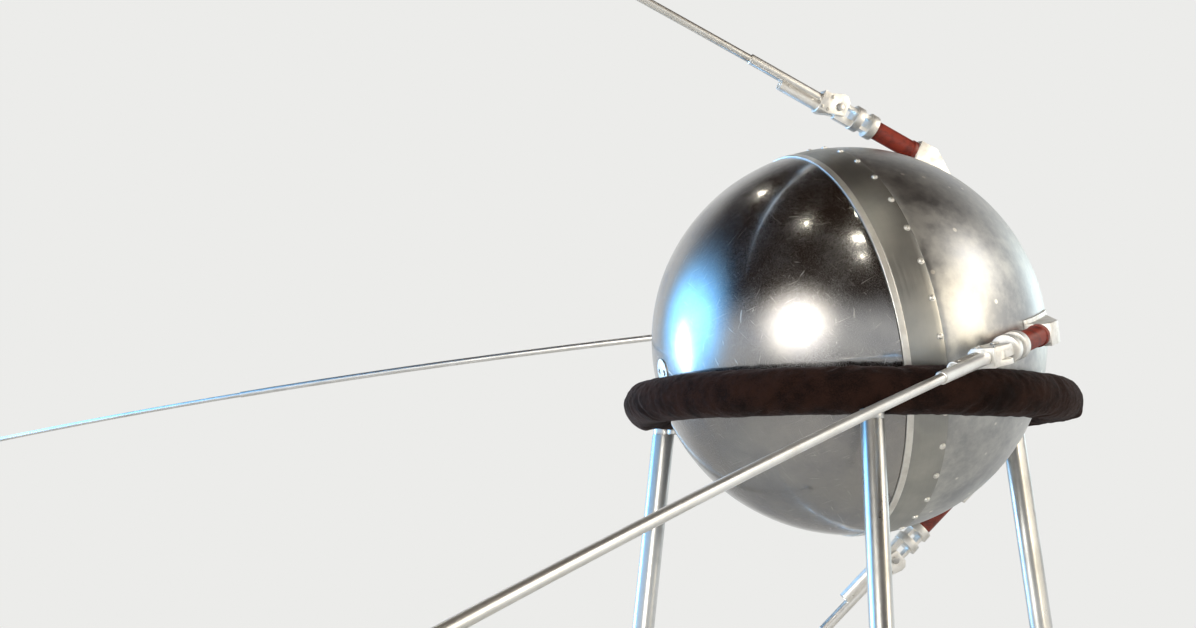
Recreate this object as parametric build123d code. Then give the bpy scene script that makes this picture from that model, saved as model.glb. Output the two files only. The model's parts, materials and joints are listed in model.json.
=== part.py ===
from build123d import *
from math import cos, radians, sin, sqrt, tan
import os

os.makedirs("parts", exist_ok=True)

# Frame: origin on the floor under the middle of the stand, Z up, X towards the satellite's nose.

# Ball
ball_radius = 290.0
wall = 2.6
nose_lift = 10.9            # nose axis above the horizontal, degrees
roll = 10.3                 # turn of the whip cross about the nose axis, degrees
band_width = 55.0           # joint band behind the equator
band_proud = 0.8
lip_width = 6.5
lip_proud = 1.8
seam = 0.4
spigot_reach = 10.0         # how far the band's rims reach under the two shells
spigot_gap = 0.3
rim_depth = 8.0
block_clear = 15.0          # between the block's corners and the shell's inside
block_height = 264.0
collar_height = 6.0
collar_back = 20.0
port_diameter = 40.0
port_thick = 2.0
port_hole = 9.0
port_spacing = 22.0
fit = 0.1

# Whips: stations run along the whip line from its nearest point to the ball
whip_angle = 34.0           # between whip and nose axis
whip_lift = 17.5            # whip line above the shell
long_reach = 2900.0
short_reach = 2400.0
long_bend = 19500.0         # radius of the whips' droop
short_bend = 28700.0
insulator_diameter = 28.0
rim_diameter = 31.0
rim_long = 7.0
foot_end = 23.0
foot_back = 70.0
foot_flat = 29.0
foot_high = 17.0
foot_low = 24.0             # how far the wedge's thin end lies below the whip line
foot_wide = 30.0
sole_edge = 6.0
sole_thick = 3.5
insulator_long = 75.0
flange_diameter = 38.0
flange_thick = 12.0
window_long = 14.0
eye_window = 17.0
window_half = 7.0
rail_thick = 5.5
rail_wide = 11.0
wide_rail = 15.0            # the two rails between the flanges
low_rail_thick = 10.0
eye_radius = 12.0
pin_diameter = 7.0
pin_gap = 0.05
pin_head = 11.0
pin_head_thick = 2.0
side_gap = 0.5
cheek = 6.5
slot_clear = 3.5
block_long = 31.0           # from the pin to the block's far end
block_high = 20.0
block_top = (7.0, 15.0, 33.0)   # where its top is reached, left and ends, from the near face
block_face = (13.0, 9.0)    # near face, above and below the whip line
block_waist = 12.0
block_low = 22.0
block_belly = (21.0, 15.0)  # where its underside turns down, from the near face, and how low
block_corner = 5.0
block_tail = 7.0
spring_tube = 17.0
spring_drop = 11.5
spring_long = 66.0
web_wide = 14.0
tube_wall = 2.5
tube_recess = 4.0
sleeve_diameter = 16.0
sleeve_long = 124.0
sleeve_seat = 8.0
rod_diameter = 12.0
outer_rod_diameter = 9.5
outer_rod_from = 1300.0

# Stand
ring_height = 1890.0
pad_radius = 31.3
pad_clear = 10.0            # the ring's centre line outside the ball's radius
pad_gap = 0.3
ball_sink = 5.8             # how far the ball presses into the padding
leg_turn = 10.9             # first leg from the X axis, degrees
leg_outset = 19.0           # leg line outside the ring's centre line, at the ring's height
leg_splay = 7.5
leg_deep = 37.0
leg_wide = 29.0
leg_wall = 2.0
head_thick = 12.0
head_bite = 6.0             # how far the leg heads reach up into the padding
stud_diameter = 14.0
stud_long = 18.0
foot_diameter = 120.0
foot_thick = 8.0
foot_hole = 11.0
foot_hole_out = 42.0
socket_high = 40.0
socket_wall = 3.0

# Derived places
ring_radius = ball_radius + pad_clear
ball_height = ring_height + sqrt((ball_radius + pad_radius - ball_sink) ** 2 - ring_radius ** 2)
satellite = Pos(0, 0, ball_height) * Rot(0, 90 - nose_lift, 0) * Rot(0, 0, roll)
beta = radians(whip_angle)
whip_line = ball_radius + whip_lift
inner_radius = ball_radius - wall
rim_radius = sqrt((inner_radius - spigot_gap) ** 2 - (band_width + spigot_reach) ** 2) - rim_depth
first_flange = foot_end + insulator_long
second_flange = first_flange + flange_thick + window_long
block_start = second_flange + flange_thick + eye_window
pin_at = block_start + eye_radius
block_end = pin_at + block_long
spring_end = block_end + spring_long
sleeve_end = block_end + sleeve_long
fork_half = rail_wide / 2 + side_gap
block_half = fork_half + cheek


def save(name, shape, place=None):
    shape = place * shape if place else shape
    shape.label = name
    export_step(shape, f"parts/{name}.step")


def slab(low, high):
    return Pos(0, 0, (low + high) / 2) * Box(3 * ball_radius, 3 * ball_radius, high - low)


def round_bar(diameter, start, end, drop=0.0):
    return Pos((start + end) / 2, 0, -drop) * Rot(0, 90, 0) * Cylinder(diameter / 2, end - start)


def square_bar(start, end, width, low, high):
    return Pos((start + end) / 2, 0, (low + high) / 2) * Box(end - start, width, high - low)


def cross_pin(diameter, length):
    return Pos(pin_at, 0, 0) * Rot(90, 0, 0) * Cylinder(diameter / 2, length)


def side_profile(points, width):
    return extrude(Plane.XZ * make_face(Polyline(*points, close=True)), amount=width / 2, both=True)


# Half-shells, with the joint band and its raised lip between them
shell = Sphere(ball_radius) - Sphere(inner_radius)
save("shell_rear", shell & slab(-2 * ball_radius, -band_width - seam), satellite)
save("shell_front", shell & slab(seam, 2 * ball_radius), satellite)

band = Sphere(ball_radius + band_proud) & slab(-band_width + lip_width, 0)
band += Sphere(inner_radius - spigot_gap) & slab(-band_width - spigot_reach, spigot_reach)
save("joint_band", band - Cylinder(rim_radius, 3 * band_width), satellite)

lip = Sphere(ball_radius + lip_proud) - Sphere(inner_radius)
save("joint_lip", lip & slab(-band_width, -band_width + lip_width - fit), satellite)

# Heavy block inside the ball, on a collar that fills the joint band
block_corners = sqrt((inner_radius - block_clear) ** 2 - (block_height / 2) ** 2)
block = extrude(RegularPolygon(block_corners, 8), amount=block_height / 2, both=True)
block += Pos(0, 0, -collar_back) * Cylinder(rim_radius, collar_height)
save("power_block", block, satellite)

# Small port plate in the middle of the rear half-shell
tail = Pos(0, 0, -ball_radius)
port = Rot(90, 0, 0) * Sphere(ball_radius + port_thick) & tail * Cylinder(port_diameter / 2, port_diameter)
port -= Rot(90, 0, 0) * Sphere(ball_radius + fit)
for way in (-1, 1):
    port -= tail * Pos(0, way * port_spacing / 2, 0) * Cylinder(port_hole / 2, port_diameter)
save("rear_port", port, satellite)

# Whips: each is drawn along X with the ball below it, and the hinge pin along Y
whips = {"bottom": (0, short_reach, short_bend), "back": (90, long_reach, long_bend),
         "top": (180, short_reach, short_bend), "front": (270, long_reach, long_bend)}
for side, (turn, reach, bend) in whips.items():
    around = Vector(cos(radians(turn)), sin(radians(turn)), 0)
    out = Vector(0, 0, sin(beta)) + around * cos(beta)
    along = Vector(0, 0, -cos(beta)) + around * sin(beta)
    place = satellite * Plane(origin=out * whip_line, x_dir=along, z_dir=out).location
    middle = Pos(0, 0, -whip_line) * Rot(90, 0, 0)

    # Foot: a wedge on a sole that follows the shell
    wedge = [(foot_end, -foot_back), (foot_end, foot_high), (foot_end - foot_flat, foot_high),
             (-foot_back, -foot_low), (-foot_back, -foot_back)]
    foot = side_profile(wedge, foot_wide)
    sole = middle * Sphere(ball_radius + sole_thick)
    foot += sole & square_bar(-foot_back - sole_edge, foot_end, foot_wide + 2 * sole_edge, -whip_line / 2, 0)
    save(f"foot_{side}", foot - middle * Sphere(ball_radius + fit), place)

    insulator = round_bar(insulator_diameter, foot_end, first_flange)
    insulator += round_bar(rim_diameter, foot_end, foot_end + rim_long)
    save(f"insulator_{side}", insulator, place)

    # Hinge base: two flanges with a window between them, and an eye for the pin
    base = round_bar(flange_diameter, first_flange, first_flange + flange_thick)
    base += round_bar(flange_diameter, second_flange, second_flange + flange_thick)
    high = window_half + rail_thick
    for low in (window_half, -high):
        base += square_bar(first_flange, second_flange + flange_thick, wide_rail, low, low + rail_thick)
    base += square_bar(second_flange, pin_at, rail_wide, window_half, high)
    base += square_bar(second_flange, pin_at, rail_wide, -window_half - low_rail_thick, -window_half)
    base += cross_pin(2 * eye_radius, rail_wide)
    pin_hole = cross_pin(pin_diameter + 2 * pin_gap, 4 * block_half)
    save(f"hinge_base_{side}", base - pin_hole, place)

    pin = cross_pin(pin_diameter, 2 * (block_half + side_gap + pin_head_thick))
    for way in (-1, 1):
        pin += Pos(0, way * (block_half + side_gap + pin_head_thick / 2), 0) * cross_pin(pin_head,
                                                                                         pin_head_thick)
    save(f"hinge_pin_{side}", pin, place)

    # Hinge block: a fork over the eye, with the spring tube beside the whip's sleeve
    rise, left, fall = (block_start + far for far in block_top)
    fork = [(block_start, -block_face[1]), (block_start, block_face[0]), (rise, block_high),
            (left, block_high), (fall, block_waist), (block_end, block_waist), (block_end, -block_low),
            (block_end - block_tail, -block_low), (block_start + block_belly[0], -block_belly[1])]
    corner = block_half - block_corner
    section = Polyline((-block_half, block_high), (block_half, block_high),
                       (block_half, block_corner - block_low), (corner, -block_low), (-corner, -block_low),
                       (-block_half, block_corner - block_low), close=True)
    clamp = side_profile(fork, 2 * block_half)
    clamp &= extrude(Plane.YZ * make_face(section), amount=block_end)
    clamp -= square_bar(0, pin_at + eye_radius + slot_clear, 2 * fork_half, -block_end, block_end)
    clamp += round_bar(spring_tube, block_end - block_tail, spring_end, spring_drop)
    clamp += square_bar(block_end - block_tail, spring_end, web_wide, -spring_drop, 0)
    clamp -= round_bar(spring_tube - 2 * tube_wall, spring_end - tube_recess, sleeve_end, spring_drop)
    clamp -= pin_hole
    clamp -= round_bar(sleeve_diameter + 2 * fit, block_end - sleeve_seat, sleeve_end)
    save(f"whip_clamp_{side}", clamp, place)

    # Whip: a straight sleeve, then two rods in one long bend under their own weight
    down = place.inverse() * Pos(0, 0, -1)
    sag = Vector(*(down.position - place.inverse().position))
    sag = Vector(0, sag.Y, sag.Z)
    bend = bend / sag.length
    sag = sag.normalized()

    def on_bend(distance):
        angle = (distance - pin_at) / bend
        return Vector(pin_at, 0, 0) + Vector(1, 0, 0) * bend * sin(angle) + sag * bend * (1 - cos(angle))

    whip = round_bar(sleeve_diameter, block_end - sleeve_seat + fit, sleeve_end)
    for start, end, diameter in ((block_end, outer_rod_from, rod_diameter),
                                 (outer_rod_from, reach, outer_rod_diameter)):
        arc = ThreePointArc(on_bend(start), on_bend((start + end) / 2), on_bend(end))
        whip += sweep(Plane(origin=arc @ 0, z_dir=arc % 0) * Circle(diameter / 2), path=arc)
    save(f"whip_{side}", whip, place)

# Padded ring, hollowed where the ball rests in it, on three oval legs
head_top = ring_height - pad_radius + head_bite
head_low = head_top - head_thick
slope = tan(radians(leg_splay))
foot_radius = ring_radius + leg_outset + ring_height * slope
all_round = 3 * (foot_radius + foot_diameter)
pad = Pos(0, 0, ring_height) * Torus(ring_radius, pad_radius)
pad -= Pos(0, 0, ball_height) * Sphere(ball_radius + lip_proud + pad_gap)
for i in range(3):
    turn = Rot(0, 0, leg_turn + 120 * i)
    leg_top = foot_radius - head_top * slope

    def head_shape(grow):
        outline = Pos(leg_top, 0) * SlotOverall(leg_deep + 2 * grow, leg_wide + 2 * grow)
        outline += Pos(ring_radius, 0) * Circle(leg_wide / 2 + grow)
        plate = Pos(0, 0, head_low) * extrude(outline, amount=head_thick + grow)
        stud = Cylinder(stud_diameter / 2 + grow, stud_long + 2 * grow)
        return turn * (plate + Pos(ring_radius, 0, head_top + stud_long / 2) * stud)

    save(f"leg_head_{i + 1}", head_shape(0))
    pad -= head_shape(fit)

    lean = Pos(foot_radius, 0, 0) * Rot(0, -leg_splay, 0)
    run = 1.2 * ring_height
    tube = SlotOverall(leg_deep, leg_wide) - SlotOverall(leg_deep - 2 * leg_wall, leg_wide - 2 * leg_wall)
    tube = lean * extrude(tube, amount=run, both=True)
    middle = (foot_thick + head_low) / 2
    leg = tube & (Pos(0, 0, middle) * Box(all_round, all_round, head_low - foot_thick))
    save(f"leg_{i + 1}", turn * leg)

    outer = SlotOverall(leg_deep + 2 * socket_wall, leg_wide + 2 * socket_wall)
    inner = SlotOverall(leg_deep + 2 * fit, leg_wide + 2 * fit)
    socket = lean * extrude(outer - inner, amount=run, both=True)
    socket &= Pos(0, 0, foot_thick + socket_high / 2) * Box(all_round, all_round, socket_high)
    foot = Pos(foot_radius, 0, foot_thick / 2) * Cylinder(foot_diameter / 2, foot_thick) + socket
    foot -= Pos(foot_radius + foot_hole_out, 0, 0) * Cylinder(foot_hole / 2, 4 * foot_thick)
    save(f"foot_plate_{i + 1}", turn * foot)
save("ring_pad", pad)
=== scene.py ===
import bpy
import json
import random
from math import atan2, cos, exp, pi, radians, sin, sqrt
from mathutils import Euler, Matrix, Quaternion, Vector, noise


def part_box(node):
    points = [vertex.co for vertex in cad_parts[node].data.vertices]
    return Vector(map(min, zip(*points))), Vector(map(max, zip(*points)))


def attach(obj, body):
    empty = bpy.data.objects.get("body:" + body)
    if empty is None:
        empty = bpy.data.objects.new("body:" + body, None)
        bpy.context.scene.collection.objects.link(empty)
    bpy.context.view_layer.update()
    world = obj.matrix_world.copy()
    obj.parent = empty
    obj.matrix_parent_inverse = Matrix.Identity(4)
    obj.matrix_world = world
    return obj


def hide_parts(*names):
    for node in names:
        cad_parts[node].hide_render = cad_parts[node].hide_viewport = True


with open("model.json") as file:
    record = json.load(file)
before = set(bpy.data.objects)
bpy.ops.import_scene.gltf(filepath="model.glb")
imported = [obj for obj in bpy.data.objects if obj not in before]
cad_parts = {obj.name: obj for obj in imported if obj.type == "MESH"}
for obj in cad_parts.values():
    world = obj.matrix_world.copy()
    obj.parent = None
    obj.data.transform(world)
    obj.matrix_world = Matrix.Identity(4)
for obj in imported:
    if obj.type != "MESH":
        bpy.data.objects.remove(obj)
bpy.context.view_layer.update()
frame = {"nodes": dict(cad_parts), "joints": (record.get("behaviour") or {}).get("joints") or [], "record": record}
cadNodes = frame["nodes"]
mm = 0.001

# Places that everything else is measured from, read from the frame
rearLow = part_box("shell_rear")[0]
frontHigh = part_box("shell_front")[1]
ballRadius = (frontHigh.x - rearLow.x) / 2
ballCentre = Vector(((frontHigh.x + rearLow.x) / 2, 0, frontHigh.z - ballRadius))
padLow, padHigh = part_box("ring_pad")
padRadius = (padHigh.z - padLow.z) / 2
ringRadius = (padHigh.x - padLow.x) / 2 - padRadius
ringHeight = (padHigh.z + padLow.z) / 2

hingePins = {}
for joint in frame["joints"]:
    hingePins[joint["name"].replace("whip_fold_", "")] = Vector(joint["pos_m"])
ballX = (hingePins["bottom"] - hingePins["top"]).normalized()
ballY = (hingePins["back"] - hingePins["front"]).normalized()
noseAxis = ballX.cross(ballY).normalized()
ballFrame = Matrix((ballX, ballY, noseAxis)).transposed().to_4x4()
ballFrame.translation = ballCentre


def deselectAll():
    bpy.ops.object.select_all(action="DESELECT")


def selectOnly(piece):
    deselectAll()
    piece.select_set(True)
    bpy.context.view_layer.objects.active = piece


def applyModifiers(piece):
    selectOnly(piece)
    for modifier in list(piece.modifiers):
        bpy.ops.object.modifier_apply(modifier=modifier.name)


def placeInMesh(piece, matrix):
    # moves the mesh itself, so that the object stays at the origin
    piece.data.transform(matrix)
    piece.data.update()


def copyTo(matrix, original):
    # a copy with its own mesh, set at its place
    copy = original.copy()
    copy.data = original.data.copy()
    bpy.context.collection.objects.link(copy)
    placeInMesh(copy, matrix)
    return copy


def joinPieces(pieces, name):
    selectOnly(pieces[0])
    for piece in pieces[1:]:
        piece.select_set(True)
    bpy.ops.object.join()
    joined = bpy.context.object
    joined.name = name
    return joined


def roundEdges(piece, width, steps, sharpAngle):
    rounding = piece.modifiers.new("edgeRound", "BEVEL")
    rounding.width = width
    rounding.segments = steps
    rounding.limit_method = "ANGLE"
    rounding.angle_limit = radians(sharpAngle)


# Materials: colours are sRGB hex, and patterns lie on Object coordinates. Every size in a material's
# settings is in millimetres, and every pair that ends in Cut is where a pattern starts and is full.

def colour(hexText, alpha=1.0):
    channels = [int(hexText[i:i + 2], 16) / 255 for i in (1, 3, 5)]
    linear = [c / 12.92 if c <= 0.04045 else ((c + 0.055) / 1.055) ** 2.4 for c in channels]
    return (*linear, alpha)


def linkAll(tree, node, links):
    for socket, source in links.items():
        tree.links.new(source, node.inputs[socket])


def addNode(tree, kind, values=None, links=None, **settings):
    node = tree.nodes.new(kind)
    for name, value in settings.items():
        setattr(node, name, value)
    for socket, value in (values or {}).items():
        node.inputs[socket].default_value = value
    linkAll(tree, node, links or {})
    return node


def emptyTree(owner):
    # the nodes of a material, world or lamp, with the ones it starts with removed
    owner.use_nodes = True
    owner.node_tree.nodes.clear()
    return owner.node_tree


def newMaterial(name, surface):
    material = bpy.data.materials.new(name)
    tree = emptyTree(material)
    shader = addNode(tree, "ShaderNodeBsdfPrincipled", values=surface)
    addNode(tree, "ShaderNodeOutputMaterial", links={"Surface": shader.outputs["BSDF"]})
    coords = addNode(tree, "ShaderNodeTexCoord").outputs["Object"]
    return material, tree, shader, coords


def setRamp(node, cut, shades):
    for element, position, shade in zip(node.color_ramp.elements, cut, shades):
        element.position = position
        element.color = colour(shade)


def scaleFor(millimetres):
    # a texture's scale for a pattern of this size
    return 1 / (millimetres * mm)


def span(cut, result=(0, 1)):
    # a Map Range node's values, from one pair of numbers to the other
    return {"From Min": cut[0], "From Max": cut[1], "To Min": result[0], "To Max": result[1]}


# Rear half-shell: aluminium alloy, spun and mirror polished. Reflections stay sharp under a haze of
# fine buffing marks, which spreads the lamps into soft glows. The real marks are a few hundredths of
# a millimetre, so the grain and the scratches are drawn as coarse as they need to show.
mirrorShell = {
    "base": "#A9A8A7", "haze": "#97979A", "scratched": "#BDBCBA", "hazeCut": (0.38, 0.66),
    "cloudSize": 90, "cloudShare": 0.55, "grainSize": 0.5, "buffedCut": (0.66, 0.96),
    "scratchSize": 1.2, "scratchBend": 0.6, "scratchCut": (0.70, 0.80), "roughness": (0.05, 0.37),
    # turn in degrees, and length over width, of the scratches that lie one way
    "scratches": [((20, 35, 10), 34), ((-40, 10, 65), 26), ((75, -20, 30), 44), ((5, 60, -35), 20)],
}


def polishedAluminium(name, look):
    material, tree, shader, coords = newMaterial(name, {"Metallic": 1.0})
    clouds = addNode(tree, "ShaderNodeTexNoise", links={"Vector": coords},
                     values={"Scale": scaleFor(look["cloudSize"]), "Detail": 6, "Roughness": 0.62})
    grain = addNode(tree, "ShaderNodeTexNoise", links={"Vector": coords},
                    values={"Scale": scaleFor(look["grainSize"]), "Detail": 2})
    # short hair scratches lie in several directions, mostly along the arcs of the buffing wheel
    deepest = None
    for turn, length in look["scratches"]:
        turned = addNode(tree, "ShaderNodeMapping", vector_type="TEXTURE", links={"Vector": coords},
                         values={"Rotation": [radians(part) for part in turn], "Scale": (length, 1, length)})
        stroke = addNode(tree, "ShaderNodeTexNoise", links={"Vector": turned.outputs["Vector"]},
                         values={"Scale": scaleFor(look["scratchSize"]), "Detail": 1,
                                 "Distortion": look["scratchBend"]})
        if deepest is None:
            deepest = stroke.outputs["Fac"]
        else:
            deepest = addNode(tree, "ShaderNodeMath", operation="MAXIMUM",
                              links={0: deepest, 1: stroke.outputs["Fac"]}).outputs[0]
    scratch = addNode(tree, "ShaderNodeMapRange", values=span(look["scratchCut"]), links={"Value": deepest})
    shade = addNode(tree, "ShaderNodeValToRGB", links={"Fac": clouds.outputs["Fac"]})
    setRamp(shade, look["hazeCut"], (look["base"], look["haze"]))
    marked = addNode(tree, "ShaderNodeMix", data_type="RGBA", values={7: colour(look["scratched"])},
                     links={0: scratch.outputs["Result"], 6: shade.outputs["Color"]})
    # the grain is a mix of still mirror bright and buffed spots, and the clouds say how many are buffed
    buffed = addNode(tree, "ShaderNodeMath", operation="MULTIPLY_ADD", values={1: look["cloudShare"]},
                     links={0: clouds.outputs["Fac"], 2: grain.outputs["Fac"]})
    share = addNode(tree, "ShaderNodeMapRange", values=span(look["buffedCut"]),
                    links={"Value": buffed.outputs[0]})
    either = addNode(tree, "ShaderNodeMath", operation="MAXIMUM",
                     links={0: share.outputs["Result"], 1: scratch.outputs["Result"]})
    rough = addNode(tree, "ShaderNodeMapRange", values=span((0, 1), look["roughness"]),
                    links={"Value": either.outputs[0]})
    linkAll(tree, shader, {"Base Color": marked.outputs[2], "Roughness": rough.outputs["Result"]})
    return material


# Front half-shell: the same alloy, left with a frosted, mottled surface from chemical cleaning.
# Reflections are broad and cloudy, with pale specks.
frostedShell = {
    "dark": "#A9ABAE", "pale": "#CFD0CE", "speck": "#F0EEE8",
    "cloudSize": 70, "mottleSize": 13, "mottleShare": 0.6, "paleCut": (0.62, 0.96),
    "speckSize": 30, "speckCut": (0.13, 0.08), "roughness": (0.33, 0.43), "bump": 0.05, "bumpSize": 0.6,
}


def frostedAluminium(name, look):
    material, tree, shader, coords = newMaterial(name, {"Metallic": 1.0})
    clouds = addNode(tree, "ShaderNodeTexNoise", links={"Vector": coords},
                     values={"Scale": scaleFor(look["cloudSize"]), "Detail": 6, "Roughness": 0.6})
    mottle = addNode(tree, "ShaderNodeTexNoise", links={"Vector": coords},
                     values={"Scale": scaleFor(look["mottleSize"]), "Detail": 5, "Roughness": 0.65})
    both = addNode(tree, "ShaderNodeMath", operation="MULTIPLY_ADD", values={1: look["mottleShare"]},
                   links={0: mottle.outputs["Fac"], 2: clouds.outputs["Fac"]})
    shade = addNode(tree, "ShaderNodeValToRGB", links={"Fac": both.outputs[0]})
    setRamp(shade, look["paleCut"], (look["dark"], look["pale"]))
    cells = addNode(tree, "ShaderNodeTexVoronoi", feature="F1", links={"Vector": coords},
                    values={"Scale": scaleFor(look["speckSize"])})
    speck = addNode(tree, "ShaderNodeMapRange", values=span(look["speckCut"]),
                    links={"Value": cells.outputs["Distance"]})
    mixed = addNode(tree, "ShaderNodeMix", data_type="RGBA", values={7: colour(look["speck"])},
                    links={0: speck.outputs["Result"], 6: shade.outputs["Color"]})
    rough = addNode(tree, "ShaderNodeMapRange", values=span(look["paleCut"], look["roughness"]),
                    links={"Value": both.outputs[0]})
    bump = addNode(tree, "ShaderNodeBump", links={"Height": mottle.outputs["Fac"]},
                   values={"Strength": look["bump"], "Distance": look["bumpSize"] * mm})
    linkAll(tree, shader, {"Base Color": mixed.outputs[2], "Roughness": rough.outputs["Result"],
                           "Normal": bump.outputs["Normal"]})
    return material


# Joint band: aluminium, turned and lightly etched. Fine turning lines run round the ball, drawn
# 1.8 mm apart where the real ones are a few tenths, so that they show.
satinBand = {
    "base": "#A2A3A1", "worn": "#B6B6B2", "cloudSize": 45, "wornCut": (0.35, 0.7),
    "lineSize": 1.8, "lineCut": (0.3, 0.7), "roughness": (0.34, 0.48), "bump": 0.08, "bumpSize": 0.3,
}


def turnedAluminium(name, look):
    material, tree, shader, coords = newMaterial(name, {"Metallic": 1.0})
    along = addNode(tree, "ShaderNodeVectorMath", operation="DOT_PRODUCT", values={1: noseAxis},
                    links={0: coords})
    lines = addNode(tree, "ShaderNodeTexNoise", noise_dimensions="1D", links={"W": along.outputs["Value"]},
                    values={"Scale": scaleFor(look["lineSize"]), "Detail": 3})
    clouds = addNode(tree, "ShaderNodeTexNoise", links={"Vector": coords},
                     values={"Scale": scaleFor(look["cloudSize"]), "Detail": 5})
    shade = addNode(tree, "ShaderNodeValToRGB", links={"Fac": clouds.outputs["Fac"]})
    setRamp(shade, look["wornCut"], (look["base"], look["worn"]))
    rough = addNode(tree, "ShaderNodeMapRange", values=span(look["lineCut"], look["roughness"]),
                    links={"Value": lines.outputs["Fac"]})
    bump = addNode(tree, "ShaderNodeBump", links={"Height": lines.outputs["Fac"]},
                   values={"Strength": look["bump"], "Distance": look["bumpSize"] * mm})
    linkAll(tree, shader, {"Base Color": shade.outputs["Color"], "Roughness": rough.outputs["Result"],
                           "Normal": bump.outputs["Normal"]})
    return material


# Aluminium of the lip, brackets and whips, machined or drawn and rubbed bright by hand: a soft shine
# with smudges and small dull marks, which are drawn coarser than the real ones, so that they show.
brightTrim = {"base": "#F1F0EC", "worn": "#D8D6D1", "smudgeSize": 30, "markSize": 2.2,
              "roughness": (0.42, 0.56)}
bracketAlloy = {"base": "#F3F2EF", "worn": "#D9D7D2", "smudgeSize": 14, "markSize": 1.4,
                "roughness": (0.40, 0.56)}
whipTube = {"base": "#F2F1EE", "worn": "#D8D6D1", "smudgeSize": 60, "markSize": 9,
            "roughness": (0.32, 0.42)}
# Legs: flat-sided steel tube, chromium plated and rubbed to a satin shine, with a few dull patches.
legChrome = {"base": "#CCCDCC", "worn": "#B4B5B4", "smudgeSize": 70, "markSize": 5,
             "roughness": (0.27, 0.40)}
# Hinge pins and screws: ground steel, darker than the alloy round them.
pinSteel = {"base": "#C6C5C2", "worn": "#A3A29F", "smudgeSize": 6, "markSize": 0.9,
            "roughness": (0.25, 0.40)}
# All five metals above are handled alike.
handling = {"wornCut": (0.42, 0.72), "markShare": 0.5, "markCut": (0.55, 0.95)}


def handledMetal(name, look):
    material, tree, shader, coords = newMaterial(name, {"Metallic": 1.0})
    smudges = addNode(tree, "ShaderNodeTexNoise", links={"Vector": coords},
                      values={"Scale": scaleFor(look["smudgeSize"]), "Detail": 5, "Roughness": 0.6})
    marks = addNode(tree, "ShaderNodeTexNoise", links={"Vector": coords},
                    values={"Scale": scaleFor(look["markSize"]), "Detail": 2})
    shade = addNode(tree, "ShaderNodeValToRGB", links={"Fac": smudges.outputs["Fac"]})
    setRamp(shade, handling["wornCut"], (look["base"], look["worn"]))
    mixed = addNode(tree, "ShaderNodeMath", operation="MULTIPLY_ADD", values={1: handling["markShare"]},
                    links={0: marks.outputs["Fac"], 2: smudges.outputs["Fac"]})
    rough = addNode(tree, "ShaderNodeMapRange", values=span(handling["markCut"], look["roughness"]),
                    links={"Value": mixed.outputs[0]})
    linkAll(tree, shader, {"Base Color": shade.outputs["Color"], "Roughness": rough.outputs["Result"]})
    return material


# Insulators: paper laminate bonded with phenolic resin, turned and varnished. Red-brown, with
# darker layers and a dull shine. A real layer is about 0.2 mm and is drawn 2.4 mm, so that it shows.
redInsulator = {
    "base": "#8A2E1C", "dark": "#5F1B10", "baseCut": (0.55, 0.82), "blotchSize": 18,
    "layerSize": 2.4, "layerStretch": (0.3, 0.3, 1), "layerShare": 0.45,
    "coat": 0.25, "coatRoughness": 0.22, "roughCut": (0.5, 0.9), "roughness": (0.34, 0.52),
    "bump": 0.12, "bumpSize": 0.2,
}


def phenolicLaminate(name, look):
    material, tree, shader, coords = newMaterial(name, {
        "Metallic": 0.0, "Coat Weight": look["coat"], "Coat Roughness": look["coatRoughness"]})
    layered = addNode(tree, "ShaderNodeMapping", values={"Scale": look["layerStretch"]},
                      links={"Vector": coords})
    layers = addNode(tree, "ShaderNodeTexNoise", links={"Vector": layered.outputs["Vector"]},
                     values={"Scale": scaleFor(look["layerSize"]), "Detail": 3})
    blotches = addNode(tree, "ShaderNodeTexNoise", links={"Vector": coords},
                       values={"Scale": scaleFor(look["blotchSize"]), "Detail": 5, "Roughness": 0.6})
    both = addNode(tree, "ShaderNodeMath", operation="MULTIPLY_ADD", values={1: look["layerShare"]},
                   links={0: layers.outputs["Fac"], 2: blotches.outputs["Fac"]})
    shade = addNode(tree, "ShaderNodeValToRGB", links={"Fac": both.outputs[0]})
    setRamp(shade, look["baseCut"], (look["dark"], look["base"]))
    rough = addNode(tree, "ShaderNodeMapRange", values=span(look["roughCut"], look["roughness"]),
                    links={"Value": both.outputs[0]})
    bump = addNode(tree, "ShaderNodeBump", links={"Height": layers.outputs["Fac"]},
                   values={"Strength": look["bump"], "Distance": look["bumpSize"] * mm})
    linkAll(tree, shader, {"Base Color": shade.outputs["Color"], "Roughness": rough.outputs["Result"],
                           "Normal": bump.outputs["Normal"]})
    return material


# Padding cover: dark brown cotton velvet, sewn round felt. It is nearly black face on and has a
# soft greyish sheen at the edges, with the nap brushed in patches. The real nap is about 0.5 mm
# and is drawn 1.7 mm coarse, so that it shows.
darkPadding = {
    "base": "#120907", "brushed": "#2A1913", "brushedCut": (0.74, 1.0), "patchSize": 38,
    "napSize": 1.7, "napShare": 0.8, "bump": 0.9, "bumpSize": 0.9,
    "roughness": 0.92, "specular": 0.12, "sheen": "#8A8488", "sheenWeight": 0.34, "sheenRoughness": 0.32,
}


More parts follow.
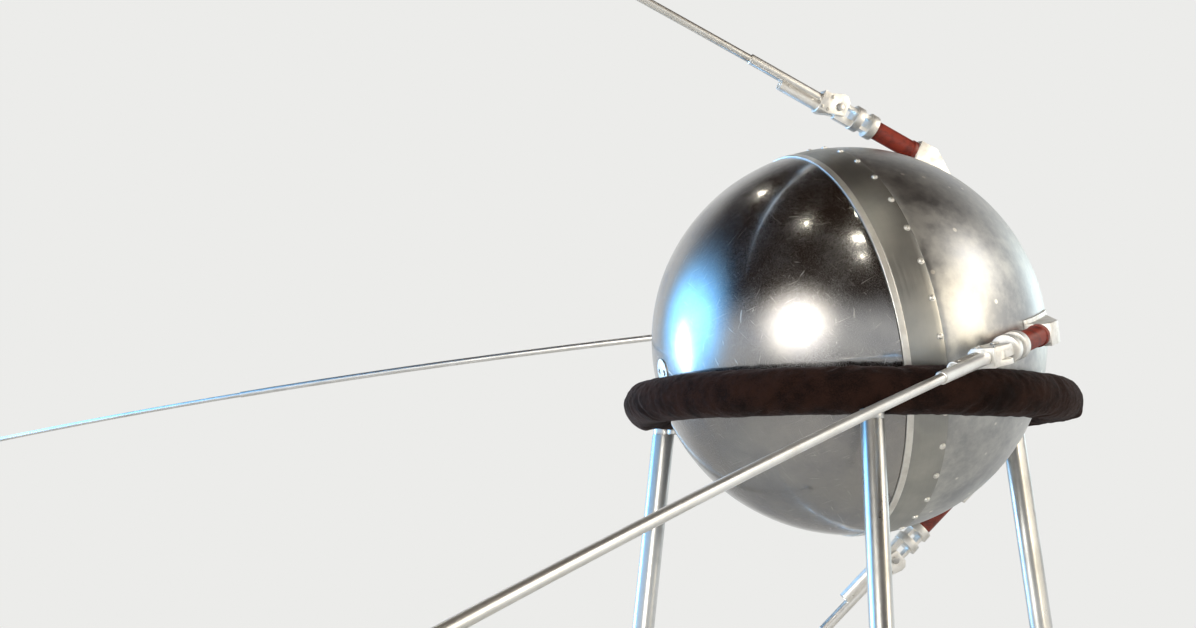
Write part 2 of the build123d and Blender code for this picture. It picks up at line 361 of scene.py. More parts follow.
def cottonVelvet(name, look):
    material, tree, shader, coords = newMaterial(name, {
        "Metallic": 0.0, "Roughness": look["roughness"], "Specular IOR Level": look["specular"],
        "Sheen Weight": look["sheenWeight"], "Sheen Roughness": look["sheenRoughness"],
        "Sheen Tint": colour(look["sheen"])})
    patches = addNode(tree, "ShaderNodeTexNoise", links={"Vector": coords},
                      values={"Scale": scaleFor(look["patchSize"]), "Detail": 5, "Roughness": 0.6})
    nap = addNode(tree, "ShaderNodeTexNoise", links={"Vector": coords},
                  values={"Scale": scaleFor(look["napSize"]), "Detail": 3, "Roughness": 0.7})
    both = addNode(tree, "ShaderNodeMath", operation="MULTIPLY_ADD", values={1: look["napShare"]},
                   links={0: nap.outputs["Fac"], 2: patches.outputs["Fac"]})
    shade = addNode(tree, "ShaderNodeValToRGB", links={"Fac": both.outputs[0]})
    setRamp(shade, look["brushedCut"], (look["base"], look["brushed"]))
    bump = addNode(tree, "ShaderNodeBump", links={"Height": nap.outputs["Fac"]},
                   values={"Strength": look["bump"], "Distance": look["bumpSize"] * mm})
    linkAll(tree, shader, {"Base Color": shade.outputs["Color"], "Normal": bump.outputs["Normal"]})
    return material


# Battery casing inside the ball: matt painted sheet. It is closed in and never seen.
blockCasing = {"base": "#4E5052", "worn": "#5A5C5E", "wornCut": (0.3, 0.7), "grainSize": 1.2,
               "roughness": 0.7}


def mattPaint(name, look):
    material, tree, shader, coords = newMaterial(name, {"Metallic": 0.0, "Roughness": look["roughness"]})
    grain = addNode(tree, "ShaderNodeTexNoise", links={"Vector": coords},
                    values={"Scale": scaleFor(look["grainSize"]), "Detail": 4})
    shade = addNode(tree, "ShaderNodeValToRGB", links={"Fac": grain.outputs["Fac"]})
    setRamp(shade, look["wornCut"], (look["base"], look["worn"]))
    linkAll(tree, shader, {"Base Color": shade.outputs["Color"]})
    return material


finishes = {
    "mirror_shell": polishedAluminium("polishedAluminiumHazed", mirrorShell),
    "frosted_shell": frostedAluminium("frostedAluminiumMottled", frostedShell),
    "satin_band": turnedAluminium("turnedAluminiumSatin", satinBand),
    "bright_trim": handledMetal("polishedAluminiumTrim", brightTrim),
    "bracket_alloy": handledMetal("machinedAluminiumBracket", bracketAlloy),
    "whip_tube": handledMetal("drawnAluminiumTube", whipTube),
    "leg_chrome": handledMetal("chromedSteelTube", legChrome),
    "pin_steel": handledMetal("groundSteelPin", pinSteel),
    "red_insulator": phenolicLaminate("phenolicLaminateVarnished", redInsulator),
    "dark_padding": cottonVelvet("cottonVelvetBrown", darkPadding),
    "block_casing": mattPaint("mattPaintedSheet", blockCasing),
}


def finishPiece(piece, slotName, smoothAngle=35):
    # material, smoothing and the record's slot
    piece.data.materials.clear()
    piece.data.materials.append(finishes[slotName])
    selectOnly(piece)
    bpy.ops.object.shade_smooth_by_angle(angle=radians(smoothAngle))


print("materials ready:", len(finishes))

# CAD nodes that stay get their slot's finish, with merged points, small edge rounds and smooth
# curves. The block in the closed ball and the whips that are replaced below need no rounds.
cadFinish = {
    "mergeDistance": 0.01 * mm, "edgeRound": 0.45 * mm, "edgeSteps": 2, "sharpAngle": 32,
    "unrounded": ("power_block", "whip_back", "whip_front", "whip_top", "whip_bottom"),
}


def buildSmoothGroup():
    group = bpy.data.node_groups.new("smoothCurvedFaces", "GeometryNodeTree")
    for way in ("INPUT", "OUTPUT"):
        group.interface.new_socket("Geometry", in_out=way, socket_type="NodeSocketGeometry")
    start = addNode(group, "NodeGroupInput")
    faces = addNode(group, "GeometryNodeSetShadeSmooth", domain="FACE", values={"Shade Smooth": True},
                    links={"Geometry": start.outputs[0]})
    angle = addNode(group, "GeometryNodeInputMeshEdgeAngle")
    sharp = addNode(group, "FunctionNodeCompare", data_type="FLOAT", operation="GREATER_THAN",
                    values={"B": radians(cadFinish["sharpAngle"])},
                    links={"A": angle.outputs["Unsigned Angle"]})
    edges = addNode(group, "GeometryNodeSetShadeSmooth", domain="EDGE", values={"Shade Smooth": False},
                    links={"Geometry": faces.outputs[0], "Selection": sharp.outputs["Result"]})
    addNode(group, "NodeGroupOutput", links={0: edges.outputs[0]})
    return group


smoothGroup = buildSmoothGroup()
slotOf = {row["node"]: row["material_slot"] for row in frame["record"]["subparts"]}
for name, node in cadNodes.items():
    node.data.materials.clear()
    node.data.materials.append(finishes[slotOf[name]])
    weld = node.modifiers.new("weldPoints", "WELD")
    weld.merge_threshold = cadFinish["mergeDistance"]
    if name not in cadFinish["unrounded"]:
        roundEdges(node, cadFinish["edgeRound"], cadFinish["edgeSteps"], cadFinish["sharpAngle"])
    smooth = node.modifiers.new("smoothCurves", "NODES")
    smooth.node_group = smoothGroup
print("CAD nodes finished:", len(cadNodes))

# Ball: two half-shells, the joint band and its raised lip, each a slice of a hollow sphere
ball = {
    "segments": 192, "rings": 96, "wall": 2.6 * mm, "lipWall": 4 * mm,
    "bandWidth": 58 * mm, "lipWidth": 9.5 * mm, "seam": 0.4 * mm, "bandProud": 0.8 * mm,
    "lipProud": 1.8 * mm, "shellRound": 0.5 * mm, "lipRound": 1.7 * mm, "edgeSteps": 3, "sharpAngle": 40,
}


def ballSlice(name, radius, low, high, wall, edgeRound):
    # the part of the sphere between two heights along the nose axis
    deselectAll()
    bpy.ops.mesh.primitive_uv_sphere_add(segments=ball["segments"], ring_count=ball["rings"], radius=radius)
    piece = bpy.context.object
    piece.name = name
    bpy.ops.object.mode_set(mode="EDIT")
    for height, direction in ((low, 1), (high, -1)):
        if abs(height) < radius:
            bpy.ops.mesh.select_all(action="SELECT")
            bpy.ops.mesh.bisect(plane_co=(0, 0, height), plane_no=(0, 0, direction), clear_inner=True)
    bpy.ops.object.mode_set(mode="OBJECT")
    shell = piece.modifiers.new("wall", "SOLIDIFY")
    shell.thickness = wall
    shell.offset = -1
    roundEdges(piece, edgeRound, ball["edgeSteps"], ball["sharpAngle"])
    applyModifiers(piece)
    placeInMesh(piece, ballFrame)
    return piece


far = 2 * ballRadius
lipLow = -ball["bandWidth"]
bandLow = lipLow + ball["lipWidth"]
rearShell = ballSlice("rearShell", ballRadius, -far, lipLow - ball["seam"], ball["wall"], ball["shellRound"])
frontShell = ballSlice("frontShell", ballRadius, ball["seam"], far, ball["wall"], ball["shellRound"])
jointBand = ballSlice("jointBand", ballRadius + ball["bandProud"], bandLow, 0, ball["wall"],
                      ball["shellRound"])
jointLip = ballSlice("jointLip", ballRadius + ball["lipProud"], lipLow, bandLow, ball["lipWall"],
                     ball["lipRound"])
for piece, slotName, nodeName in ((rearShell, "mirror_shell", "shell_rear"),
                                  (frontShell, "frosted_shell", "shell_front"),
                                  (jointBand, "satin_band", "joint_band"),
                                  (jointLip, "bright_trim", "joint_lip")):
    finishPiece(piece, slotName)
    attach(piece, "satellite_and_stand")
    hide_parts(nodeName)
print("ball ready")

# Band bolts: low domed heads on a thin washer, modelled once and copied round the band
bandBolts = {
    "count": 36, "behindEquator": 5 * mm, "sides": 20, "washer": 4.6 * mm, "washerHigh": 0.7 * mm,
    "head": 3.5 * mm, "headHigh": 1.9 * mm, "straightShare": 0.6, "domeShare": 0.4, "domeWidth": 0.68,
    "edgeRound": 0.25 * mm, "edgeSteps": 2, "sharpAngle": 30,
}


def bandBolt():
    deselectAll()
    bpy.ops.mesh.primitive_cylinder_add(vertices=bandBolts["sides"], radius=bandBolts["washer"],
                                        depth=2 * bandBolts["washerHigh"])
    bolt = bpy.context.object
    bpy.ops.object.mode_set(mode="EDIT")
    bpy.ops.mesh.select_mode(type="FACE")
    bpy.ops.mesh.select_all(action="DESELECT")
    bpy.ops.object.mode_set(mode="OBJECT")
    # the top face grows into the head
    for face in bolt.data.polygons:
        face.select = face.normal.z > 0.9
    bpy.ops.object.mode_set(mode="EDIT")
    bpy.ops.mesh.inset(thickness=bandBolts["washer"] - bandBolts["head"])
    for share in (bandBolts["straightShare"], bandBolts["domeShare"]):
        rise = (0, 0, bandBolts["headHigh"] * share)
        bpy.ops.mesh.extrude_region_move(TRANSFORM_OT_translate={"value": rise})
    bpy.ops.transform.resize(value=(bandBolts["domeWidth"], bandBolts["domeWidth"], 1))
    bpy.ops.object.mode_set(mode="OBJECT")
    roundEdges(bolt, bandBolts["edgeRound"], bandBolts["edgeSteps"], bandBolts["sharpAngle"])
    applyModifiers(bolt)
    return bolt


firstBolt = bandBolt()
boltCopies = []
lean = atan2(sqrt(ballRadius ** 2 - bandBolts["behindEquator"] ** 2), -bandBolts["behindEquator"])
outToBand = Matrix.Translation((0, 0, ballRadius + ball["bandProud"]))
for i in range(bandBolts["count"]):
    around = 2 * pi * (i + 0.5) / bandBolts["count"]
    turn = Matrix.Rotation(around, 4, "Z") @ Matrix.Rotation(lean, 4, "Y")
    boltCopies.append(copyTo(ballFrame @ turn @ outToBand, firstBolt))
bpy.data.objects.remove(firstBolt)
bolts = joinPieces(boltCopies, "bandBolts")
finishPiece(bolts, "bright_trim")
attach(bolts, "satellite_and_stand")
print("band bolts ready:", bandBolts["count"])

# Whips: a straight sleeve, then two drawn tubes that droop in one long bend from the hinge pin
whips = {
    "fromNose": 34, "points": 28, "station": 80 * mm, "chamfer": 0.8 * mm,
    "sleeveRadius": 8 * mm, "sleeveFrom": 23.1 * mm, "sleeveTo": 155 * mm,
    "rodRadius": 6 * mm, "outerRodRadius": 4.75 * mm, "outerRodFrom": 1135 * mm,
}
# reach from the pin, and radius in metres to which a level whip droops
shortWhip = {"reach": 2235 * mm, "bend": 28.7}
longWhip = {"reach": 2735 * mm, "bend": 19.5}
whipSides = {
    # the side of the nose axis that each one stands on
    "bottom": {"around": ballX, **shortWhip},
    "back": {"around": ballY, **longWhip},
    "top": {"around": -ballX, **shortWhip},
    "front": {"around": -ballY, **longWhip},
}


def whipLines(side):
    # the way along the whip, and the way out from the ball that is square to it
    angle = radians(whips["fromNose"])
    around = whipSides[side]["around"]
    return around * sin(angle) - noseAxis * cos(angle), noseAxis * sin(angle) + around * cos(angle)


def whipFrame(side):
    # Z along the whip from the pin and X away from the droop, with the droop's radius
    along = whipLines(side)[0]
    sag = Vector((0, 0, -1)) + along * along.z
    radius = whipSides[side]["bend"] / sag.length
    up = -sag.normalized()
    place = Matrix((up, along.cross(up), along)).transposed().to_4x4()
    place.translation = hingePins[side]
    return place, radius


def whipStations(reach):
    # distance from the pin and radius of each ring of points
    small = whips["chamfer"]
    stations = []
    for start, end, radius in ((whips["sleeveFrom"], whips["sleeveTo"], whips["sleeveRadius"]),
                               (whips["sleeveTo"], whips["outerRodFrom"], whips["rodRadius"]),
                               (whips["outerRodFrom"], reach, whips["outerRodRadius"])):
        stations.append((start, radius - small if start == whips["sleeveFrom"] else radius))
        stations.append((start + small, radius))
        steps = max(1, round((end - start) / whips["station"]))
        stations += [(start + (end - start) * i / steps, radius) for i in range(1, steps)]
        stations += [(end - small, radius), (end, radius - small)]
    return stations


def whipPiece(side):
    place, bend = whipFrame(side)
    stations = whipStations(whipSides[side]["reach"])

    def spot(distance):
        if distance <= whips["sleeveTo"]:
            return Vector((0, 0, distance))
        return Vector((bend * (cos(distance / bend) - 1), 0, bend * sin(distance / bend)))

    deselectAll()
    first, radius = stations[0]
    bpy.ops.mesh.primitive_circle_add(vertices=whips["points"], radius=radius, fill_type="NGON",
                                      location=spot(first))
    piece = bpy.context.object
    piece.name = f"whipTube_{side}"
    bpy.ops.object.transform_apply(location=True, rotation=True, scale=True)
    bpy.ops.object.mode_set(mode="EDIT")
    bpy.ops.mesh.select_mode(type="FACE")
    bpy.ops.mesh.select_all(action="SELECT")
    before = spot(first)
    for distance, wide in stations[1:]:
        here = spot(distance)
        bpy.ops.mesh.extrude_region_move(TRANSFORM_OT_translate={"value": tuple(here - before)})
        bpy.ops.transform.resize(value=(wide / radius, wide / radius, 1), center_override=tuple(here))
        before, radius = here, wide
    bpy.ops.mesh.select_all(action="SELECT")
    bpy.ops.mesh.normals_make_consistent(inside=False)
    bpy.ops.object.mode_set(mode="OBJECT")
    placeInMesh(piece, place)
    return piece


for side in whipSides:
    tube = whipPiece(side)
    finishPiece(tube, "whip_tube")
    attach(tube, f"whip_arm_{side}")
    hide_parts(f"whip_{side}")
print("whips ready:", len(whipSides))

# Hinge screws: slotted cheese heads on both sides of each hinge block and of the web behind it
hingeScrews = {
    "sides": 20, "head": 2.6 * mm, "high": 1.5 * mm, "slot": 0.8 * mm, "slotDeep": 0.7 * mm,
    "sunk": 0.2 * mm, "edgeRound": 0.2 * mm, "edgeSteps": 2, "sharpAngle": 40,
    # distance from the pin, height over the whip line and distance from the middle, in millimetres
    "places": [(17, 8, 12.5), (17, -12, 12.5), (27, -12, 12.5), (44, -9.5, 7.0), (84, -9.5, 7.0)],
}


def slottedScrew():
    deselectAll()
    bpy.ops.mesh.primitive_cylinder_add(vertices=hingeScrews["sides"], radius=hingeScrews["head"],
                                        depth=hingeScrews["high"], location=(0, 0, hingeScrews["high"] / 2))
    screw = bpy.context.object
    bpy.ops.object.transform_apply(location=True, rotation=True, scale=True)
    deselectAll()
    bpy.ops.mesh.primitive_cube_add(size=1, location=(0, 0, hingeScrews["high"]))
    cutter = bpy.context.object
    cutter.scale = (4 * hingeScrews["head"], hingeScrews["slot"], 2 * hingeScrews["slotDeep"])
    bpy.ops.object.transform_apply(location=True, rotation=True, scale=True)
    slot = screw.modifiers.new("slot", "BOOLEAN")
    slot.operation = "DIFFERENCE"
    slot.object = cutter
    roundEdges(screw, hingeScrews["edgeRound"], hingeScrews["edgeSteps"], hingeScrews["sharpAngle"])
    applyModifiers(screw)
    bpy.data.objects.remove(cutter)
    return screw


firstScrew = slottedScrew()
dice = random.Random(4)
for side in whipSides:
    along, outward = whipLines(side)
    across = outward.cross(along)
    copies = []
    for distance, height, aside in hingeScrews["places"]:
        for way in (-1, 1):
            spot = hingePins[side] + along * distance * mm + outward * height * mm
            spot += across * way * (aside * mm - hingeScrews["sunk"])
            facing = Matrix((along, across.cross(along) * way, across * way)).transposed().to_4x4()
            turned = facing @ Matrix.Rotation(dice.uniform(0, pi), 4, "Z")
            copies.append(copyTo(Matrix.Translation(spot) @ turned, firstScrew))
    screws = joinPieces(copies, f"hingeScrews_{side}")
    finishPiece(screws, "pin_steel")
    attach(screws, f"whip_arm_{side}")
bpy.data.objects.remove(firstScrew)
print("hinge screws ready")

# Padded ring: velvet sewn round felt, swollen by a cloth simulation. It has irregular slanting folds,
# and hangs or is pulled tight in a few places.
padRing = {
    "startInside": 2.5 * mm, "segments": 240, "sides": 40, "voxel": 5 * mm,
    "pressure": 4.0, "frames": 20, "looseCloth": -0.06, "stiffness": 12, "bending": 0.4, "quality": 5,
    "moveCap": 6 * mm, "keptSwell": 0.3, "evenShare": 0.7, "smoothAngle": 80,
    "folds": 46, "foldJitter": 0.4, "foldSlant": (-0.10, 0.16), "foldReach": (0.5, 1.5),
    "foldDeep": (1.0 * mm, 3.0 * mm), "foldWide": (3.5 * mm, 8 * mm), "foldSearch": 0.4, "foldEdge": 4,
    # height of a fold's raised side against its depth, and how many widths it lies aside
    "crest": 0.55, "crestAside": 1.4,
    "lumpSize": 70 * mm, "lumpHigh": 1.5 * mm,
    # fall-off, step and number of the layers of noise in the puckers
    "puckerSize": 11 * mm, "puckerHigh": 1.0 * mm, "puckerLayers": (1.0, 2.0, 2),
    "ballGap": 0.5 * mm, "bandGap": 2.2 * mm, "bandReach": 38 * mm, "bandHold": 1.25,
    "legs": 3, "firstHead": 10.9, "headBite": 6 * mm, "headGap": 0.4 * mm,
    "headInner": -14.5 * mm, "headOuter": 41 * mm, "headHalf": 14.5 * mm,
}
padPulls = [
    # heading and angle round the tube from straight out, in degrees, spread along and round and
    # height, in millimetres, negative where it is tight
    (-34, -38, 14, 9, 4.5), (-12, -85, 90, 16, -5.5), (157, -90, 45, 18, 5.0), (-96, 60, 60, 16, 1.5),
]


def placeFolds():
    dice = random.Random(11)
    jitter = padRing["foldJitter"]
    folds = []
    for i in range(padRing["folds"]):
        folds.append({
            "around": 2 * pi * (i + dice.uniform(-jitter, jitter)) / padRing["folds"],
            "slant": dice.uniform(*padRing["foldSlant"]), "middle": dice.uniform(-pi, pi),
            "reach": dice.uniform(*padRing["foldReach"]), "deep": dice.uniform(*padRing["foldDeep"]),
            "wide": dice.uniform(*padRing["foldWide"]),
        })
    return folds


def ringPlace(co):
    # nearest point of the ring's centre circle, the way out from it, and the angles round ring and tube
    around = atan2(co.y, co.x)
    circle = Vector((ringRadius * cos(around), ringRadius * sin(around), ringHeight))
    out = co - circle
    return circle, out, around, atan2(out.z, out.x * cos(around) + out.y * sin(around))


def turnBetween(first, second):
    return (first - second + pi) % (2 * pi) - pi


def foldHeight(around, tube, fold):
    # a crease with one raised side, deepest in its middle and gone a few widths away
    along = turnBetween(around, fold["around"])
    if abs(along) >= padRing["foldSearch"]:
        return 0.0
    turn = turnBetween(tube, fold["middle"])
    aside = (along - fold["slant"] * turn) * ringRadius / fold["wide"]
    if abs(aside) >= padRing["foldEdge"]:
        return 0.0
    share = max(0.0, 1 - (turn / fold["reach"]) ** 2) ** 2
    raised = padRing["crest"] * exp(-(aside - padRing["crestAside"]) ** 2)
    return share * fold["deep"] * (raised - exp(-aside ** 2))


def coverHeight(co, around, tube, folds):
    high = noise.noise(co / padRing["lumpSize"]) * padRing["lumpHigh"]
    high += noise.fractal(co / padRing["puckerSize"], *padRing["puckerLayers"]) * padRing["puckerHigh"]
    for fold in folds:
        high += foldHeight(around, tube, fold)
    for heading, tubeAngle, spreadAlong, spreadRound, pull in padPulls:
        along = turnBetween(around, radians(heading)) * ringRadius / (spreadAlong * mm)
        turn = turnBetween(tube, radians(tubeAngle)) * padRadius / (spreadRound * mm)
        high += pull * mm * exp(-along ** 2 - turn ** 2)
    return high


def swellPad(piece):
    selectOnly(piece)
    cloth = piece.modifiers.new("swell", "CLOTH")
    cloth.settings.use_pressure = True
    cloth.settings.uniform_pressure_force = padRing["pressure"]
    cloth.settings.effector_weights.gravity = 0
    cloth.settings.shrink_min = padRing["looseCloth"]
    cloth.settings.tension_stiffness = padRing["stiffness"]
    cloth.settings.compression_stiffness = padRing["stiffness"]
    cloth.settings.bending_stiffness = padRing["bending"]
    cloth.settings.quality = padRing["quality"]
    scene = bpy.context.scene
    scene.frame_start, scene.frame_end = 1, padRing["frames"]
    cloth.point_cache.frame_end = padRing["frames"]
    for step in range(1, padRing["frames"] + 1):
        scene.frame_set(step)
    before = [v.co.copy() for v in piece.data.vertices]
    bpy.ops.object.modifier_apply(modifier=cloth.name)
    scene.frame_set(1)
    for vertex, start in zip(piece.data.vertices, before):
        move = vertex.co - start
        if move.length > padRing["moveCap"]:
            vertex.co = start + move.normalized() * padRing["moveCap"]


def restPad(piece):
    headTop = ringHeight - padRadius + padRing["headBite"] + padRing["headGap"]
    for vertex in piece.data.vertices:
        # the ball presses the padding in, a little deeper under the band
        arm = vertex.co - ballCentre
        fromBand = abs(arm.dot(noseAxis) + ball["bandWidth"] / 2)
        nearBand = max(0.0, min(1.0, padRing["bandHold"] - fromBand / padRing["bandReach"]))
        clear = ballRadius + padRing["ballGap"] + nearBand * (padRing["bandGap"] - padRing["ballGap"])
        if arm.length < clear:
            vertex.co = ballCentre + arm.normalized() * clear
        # each leg's head presses it up from below
        for i in range(padRing["legs"]):
            heading = radians(padRing["firstHead"] + 360 / padRing["legs"] * i)
            outward = vertex.co.x * cos(heading) + vertex.co.y * sin(heading) - ringRadius
            sideways = vertex.co.y * cos(heading) - vertex.co.x * sin(heading)
            overHead = padRing["headInner"] < outward < padRing["headOuter"]
            if overHead and abs(sideways) < padRing["headHalf"]:
                vertex.co.z = max(vertex.co.z, headTop)


def padRingPiece():
    deselectAll()
    bpy.ops.mesh.primitive_torus_add(major_radius=ringRadius, minor_radius=padRadius - padRing["startInside"],
                                     major_segments=padRing["segments"], minor_segments=padRing["sides"],
                                     location=(0, 0, ringHeight))
    piece = bpy.context.object
    piece.name = "padRing"
    bpy.ops.object.transform_apply(location=True, rotation=True, scale=True)
    remesh = piece.modifiers.new("evenPoints", "REMESH")
    remesh.mode = "VOXEL"
    remesh.voxel_size = padRing["voxel"]
    applyModifiers(piece)
    swellPad(piece)
    finer = piece.modifiers.new("finer", "SUBSURF")
    finer.levels = finer.render_levels = 1
    applyModifiers(piece)
    # a part of the swelling stays, and the rest is evened out to the ring's real radius
    folds = placeFolds()
    for vertex in piece.data.vertices:
        circle, out, around, tube = ringPlace(vertex.co)
        reach = padRing["keptSwell"] * out.length + padRing["evenShare"] * padRadius
        reach += coverHeight(vertex.co, around, tube, folds)
        vertex.co = circle + out.normalized() * reach
    restPad(piece)
    return piece


pad = padRingPiece()
finishPiece(pad, "dark_padding", smoothAngle=padRing["smoothAngle"])
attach(pad, "satellite_and_stand")
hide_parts("ring_pad")
print("padded ring ready:", len(pad.data.polygons), "faces")

# Studio: a pale floor that fades into a pale backdrop, and soft lamps round the object. Headings,
# lifts and the pairs that end in Cut are in degrees, and lengths are in metres.
studio = {
    "floorRadius": 3.8, "floorSides": 128, "floorFade": (1.0, 3.7), "floorColour": "#ECEBE8",
    "paleWall": "#ECECEA", "wallStrength": 1.0, "paleGround": "#BDBCB9", "groundCut": (-7, -24),
    "openDark": "#33261F", "darkHeading": -118, "darkLift": 54, "darkCut": (94, 66), "horizonCut": (0, 22),
    "coolSide": "#A6CDEB", "coolHeading": 142, "coolLift": 6, "coolCut": (40, 4),
}
lamps = {
    # heading and lift from the ball, distance, size, watts and colour
    "floorLamp": (0, 90, 3.6, (5.0, 5.0), 46, "#FFFBF5"),
    "keyLamp": (-137, 4, 3.4, (0.9, 1.1), 20, "#FFFBF2"),
    "keyGlow": (-139, 3, 3.5, (4.4, 4.0), 38, "#FFF8EC"),
    "coolLamp": (143, -1, 3.6, (1.5, 2.1), 26, "#D6ECFF"),
    "coolGlow": (149, 8, 3.7, (6.4, 5.2), 128, "#64AEEA"),
    "warmLamp": (-46, 10, 3.4, (2.3, 2.9), 27, "#FFEFD2"),
    "warmGlow": (-30, 30, 3.6, (2.8, 3.0), 22, "#FFF9F0"),
    "sideLamp": (24, 12, 3.8, (2.6, 3.4), 13, "#D9F1F4"),
    "ceilingBox": (-101, 50, 3.4, (0.34, 0.2), 5, "#FFF8E6"),
    "ceilingSpot1": (124, 60, 3.4, (0.18, 0.18), 1.6, "#FFF8E6"),
    "ceilingSpot2": (-146, 60, 3.4, (0.18, 0.22), 1.6, "#FFF8E6"),
    "ceilingSpot3": (-78, 67, 3.4, (0.26, 0.22), 2.2, "#FFF8E6"),
    "ceilingSpot4": (-102, 39, 3.4, (0.18, 0.18), 1.6, "#FFF8E6"),
}
softEdge = {"gain": 5.8, "power": 2.0}


def towards(heading, lift):
    level = cos(radians(lift))
    return Vector((level * cos(radians(heading)), level * sin(radians(heading)), sin(radians(lift))))


def cosines(angles):
    return [cos(radians(angle)) for angle in angles]


def sines(angles):
    return [sin(radians(angle)) for angle in angles]


def buildFloor():
    deselectAll()
    bpy.ops.mesh.primitive_circle_add(vertices=studio["floorSides"], radius=studio["floorRadius"],
                                      fill_type="NGON")
    floor = bpy.context.object
    floor.name = "studioFloor"
    material = bpy.data.materials.new("paleSeamlessPaper")
    tree = emptyTree(material)
    coords = addNode(tree, "ShaderNodeTexCoord").outputs["Object"]
    distance = addNode(tree, "ShaderNodeVectorMath", operation="LENGTH", links={0: coords})
    fade = addNode(tree, "ShaderNodeMapRange", interpolation_type="SMOOTHSTEP",
                   values=span(studio["floorFade"]), links={"Value": distance.outputs["Value"]})
    paper = addNode(tree, "ShaderNodeBsdfDiffuse", values={"Color": colour(studio["floorColour"])})
    clear = addNode(tree, "ShaderNodeBsdfTransparent")
    mix = addNode(tree, "ShaderNodeMixShader",
                  links={0: fade.outputs["Result"], 1: paper.outputs[0], 2: clear.outputs[0]})
    addNode(tree, "ShaderNodeOutputMaterial", links={"Surface": mix.outputs[0]})
    floor.data.materials.append(material)


def buildBackdrop():
    # pale all round, bluer on one side, greyer below, and darker above and behind the camera, as in a
    # studio with its far end unlit
    world = bpy.data.worlds.new("studioRoom")
    bpy.context.scene.world = world
    tree = emptyTree(world)
    direction = addNode(tree, "ShaderNodeTexCoord").outputs["Generated"]
    height = addNode(tree, "ShaderNodeSeparateXYZ", links={0: direction}).outputs["Z"]
    toDark = addNode(tree, "ShaderNodeVectorMath", operation="DOT_PRODUCT", links={0: direction},
                     values={1: towards(studio["darkHeading"], studio["darkLift"])})
    share = addNode(tree, "ShaderNodeMapRange", interpolation_type="SMOOTHSTEP",
                    values=span(cosines(studio["darkCut"])), links={"Value": toDark.outputs["Value"]})
    lifted = addNode(tree, "ShaderNodeMapRange", interpolation_type="SMOOTHSTEP",
                     values=span(sines(studio["horizonCut"])), links={"Value": height})
    dark = addNode(tree, "ShaderNodeMath", operation="MULTIPLY",
                   links={0: share.outputs["Result"], 1: lifted.outputs["Result"]})
    shade = addNode(tree, "ShaderNodeMix", data_type="RGBA", links={0: dark.outputs[0]},
                    values={6: colour(studio["paleWall"]), 7: colour(studio["openDark"])})
    toCool = addNode(tree, "ShaderNodeVectorMath", operation="DOT_PRODUCT", links={0: direction},
                     values={1: towards(studio["coolHeading"], studio["coolLift"])})
    cool = addNode(tree, "ShaderNodeMapRange", interpolation_type="SMOOTHSTEP",
                   values=span(cosines(studio["coolCut"])), links={"Value": toCool.outputs["Value"]})
    tinted = addNode(tree, "ShaderNodeMix", data_type="RGBA", values={7: colour(studio["coolSide"])},
                     links={0: cool.outputs["Result"], 6: shade.outputs[2]})
    ground = addNode(tree, "ShaderNodeMapRange", interpolation_type="SMOOTHSTEP",
                     values=span(sines(studio["groundCut"])), links={"Value": height})
    whole = addNode(tree, "ShaderNodeMix", data_type="RGBA", values={7: colour(studio["paleGround"])},
                    links={0: ground.outputs["Result"], 6: tinted.outputs[2]})
    light = addNode(tree, "ShaderNodeBackground", values={"Strength": studio["wallStrength"]},
                    links={"Color": whole.outputs[2]})
    addNode(tree, "ShaderNodeOutputWorld", links={"Surface": light.outputs[0]})


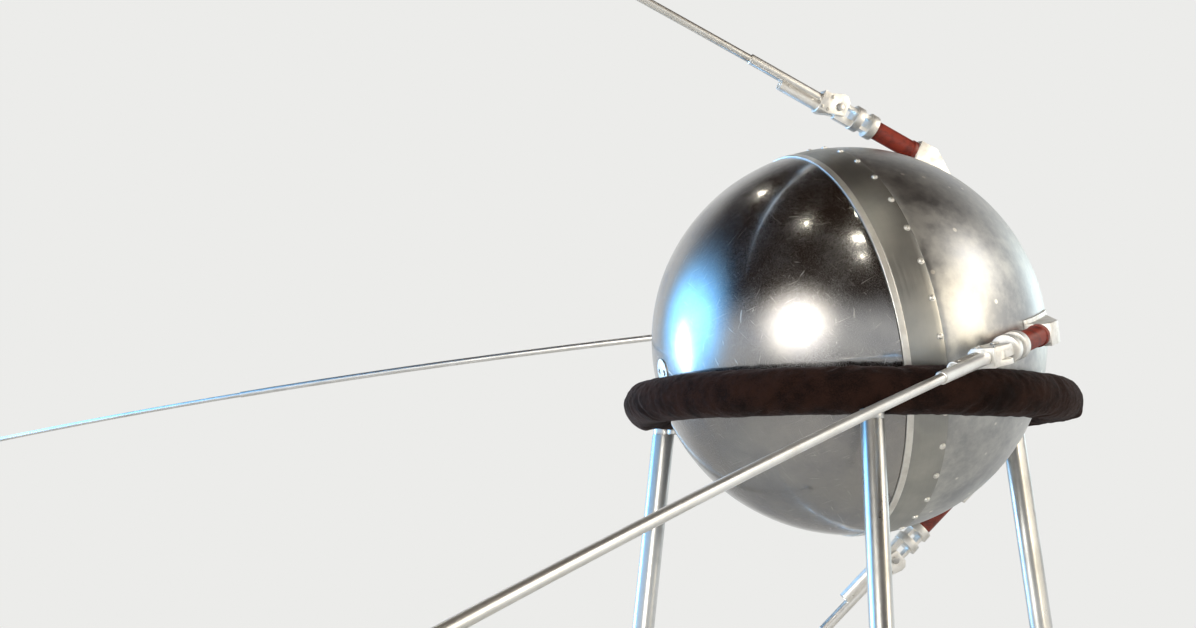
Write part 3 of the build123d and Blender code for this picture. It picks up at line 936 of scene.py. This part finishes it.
def softenEdge(data):
    # brightest in the middle and fading out to the rim, as a diffuser does; Parametric runs from 0 to 1
    # across the lamp
    tree = emptyTree(data)
    across = addNode(tree, "ShaderNodeNewGeometry").outputs["Parametric"]
    centred = addNode(tree, "ShaderNodeVectorMath", operation="SUBTRACT", values={1: (0.5, 0.5, 0)},
                      links={0: across})
    away = addNode(tree, "ShaderNodeVectorMath", operation="LENGTH", links={0: centred.outputs[0]})
    fade = addNode(tree, "ShaderNodeMapRange", interpolation_type="SMOOTHSTEP", values=span((0.5, 0.0)),
                   links={"Value": away.outputs["Value"]})
    softer = addNode(tree, "ShaderNodeMath", operation="POWER", values={1: softEdge["power"]},
                     links={0: fade.outputs["Result"]})
    bright = addNode(tree, "ShaderNodeMath", operation="MULTIPLY", values={1: softEdge["gain"]},
                     links={0: softer.outputs[0]})
    glow = addNode(tree, "ShaderNodeEmission", links={"Strength": bright.outputs[0]})
    addNode(tree, "ShaderNodeOutputLight", links={"Surface": glow.outputs[0]})


def buildLamps():
    for name, (heading, lift, distance, size, watts, tint) in lamps.items():
        data = bpy.data.lights.new(name, "AREA")
        data.shape = "RECTANGLE" if name == "ceilingBox" else "ELLIPSE"
        data.size, data.size_y = size
        data.energy = watts
        data.color = colour(tint)[:3]
        if name != "ceilingBox":
            softenEdge(data)
        item = bpy.data.objects.new(name, data)
        bpy.context.collection.objects.link(item)
        direction = towards(heading, lift)
        item.location = ballCentre + direction * distance
        item.rotation_euler = (-direction).to_track_quat("-Z", "Y").to_euler()
        item.visible_camera = False
        # the floor lamp stays out of the metal, so that the top of the ball keeps the dark ceiling,
        # and the wide blue one stays off the paper
        item.visible_glossy = name != "floorLamp"
        item.visible_diffuse = name != "coolGlow"


# Camera: in front of the ball and a little below it, looking up, as the photograph was taken
view = {"fromBall": (-0.78847, -1.70480, -0.21436), "heading": 13.416, "pitch": 7.861, "roll": 0.081,
        "lens": 36.876, "sensor": 36.0, "clip": (0.05, 100)}


def buildCamera():
    data = bpy.data.cameras.new("photoCamera")
    data.lens = view["lens"]
    data.sensor_width = view["sensor"]
    data.sensor_fit = "HORIZONTAL"
    data.clip_start, data.clip_end = view["clip"]
    camera = bpy.data.objects.new("photoCamera", data)
    bpy.context.collection.objects.link(camera)
    camera.location = ballCentre + Vector(view["fromBall"])
    look = Euler((radians(90 + view["pitch"]), 0, -radians(view["heading"]))).to_quaternion()
    camera.rotation_mode = "QUATERNION"
    camera.rotation_quaternion = look @ Quaternion((0, 0, 1), radians(view["roll"]))
    bpy.context.scene.camera = camera


buildFloor()
buildBackdrop()
buildLamps()
buildCamera()
bpy.context.scene.view_settings.view_transform = "Standard"
print("studio ready")
